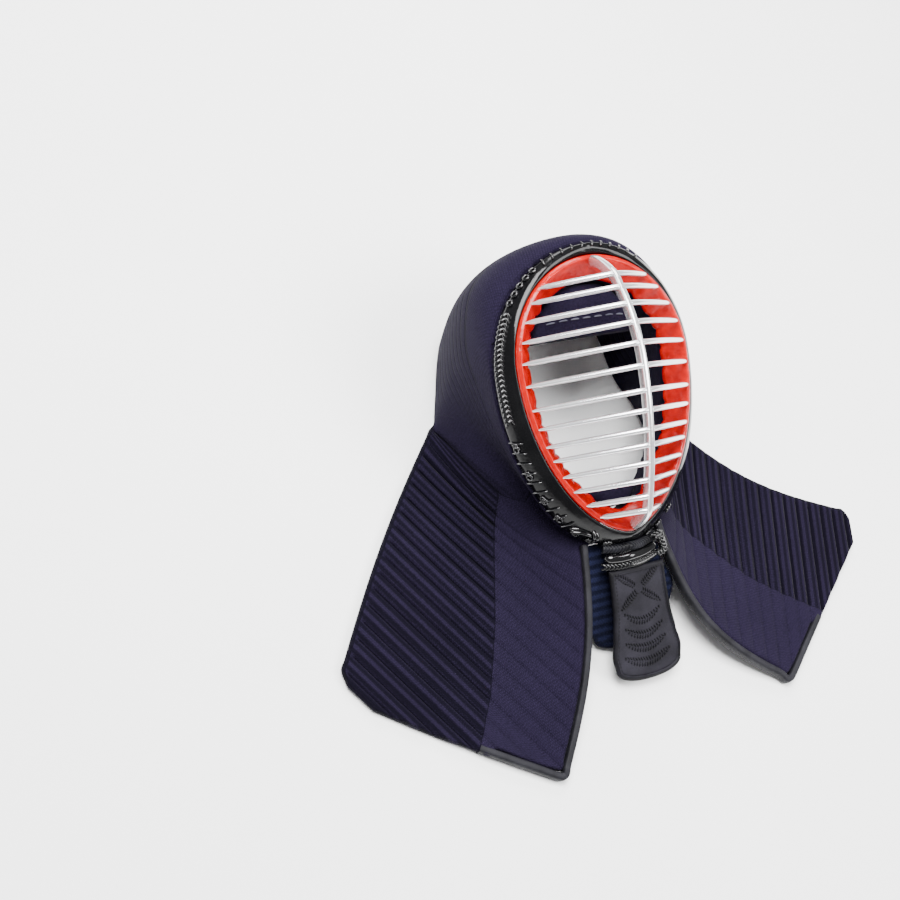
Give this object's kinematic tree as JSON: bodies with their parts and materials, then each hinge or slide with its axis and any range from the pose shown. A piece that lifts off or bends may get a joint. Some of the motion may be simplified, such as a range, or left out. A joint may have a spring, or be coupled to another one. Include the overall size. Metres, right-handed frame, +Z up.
{
  "type": "kendo men helmet",
  "caption": "Kendo head guard lying on its back: barred face grille in a lacquered frame, quilted hood with two shoulder flaps, throat guards and padded lining.",
  "frame": {"origin": "on the floor, at the middle of the overall box's base, with the helmet lying on its back", "axes": "+X to the right across the flaps as seen from the flaps' side, +Y towards the crown, +Z up"},
  "size_m": [0.5432, 0.4302, 0.1971],
  "materials": {
    "grille": "polished silver bars, with the rim's inner face in glossy red lacquer",
    "lacquer": "glossy black lacquered rawhide",
    "quilt": "navy quilted cotton over felt",
    "hide": "matt charcoal leather",
    "cord": "black braided cord",
    "indigo": "indigo ribbed quilting"
  },
  "bodies": {
    "root": {"face_grille": "grille", "face_frame": "lacquer", "quilted_hood": "quilt", "flap_binding_left": "hide", "flap_binding_right": "hide", "face_cushion": "quilt", "forehead_pad": "quilt", "chin_pad": "quilt", "chin_cord": "cord", "chin_roll": "lacquer", "chin_braid": "cord", "throat_guard": "hide", "inner_throat_guard": "indigo"}
  },
  "joints": []
}
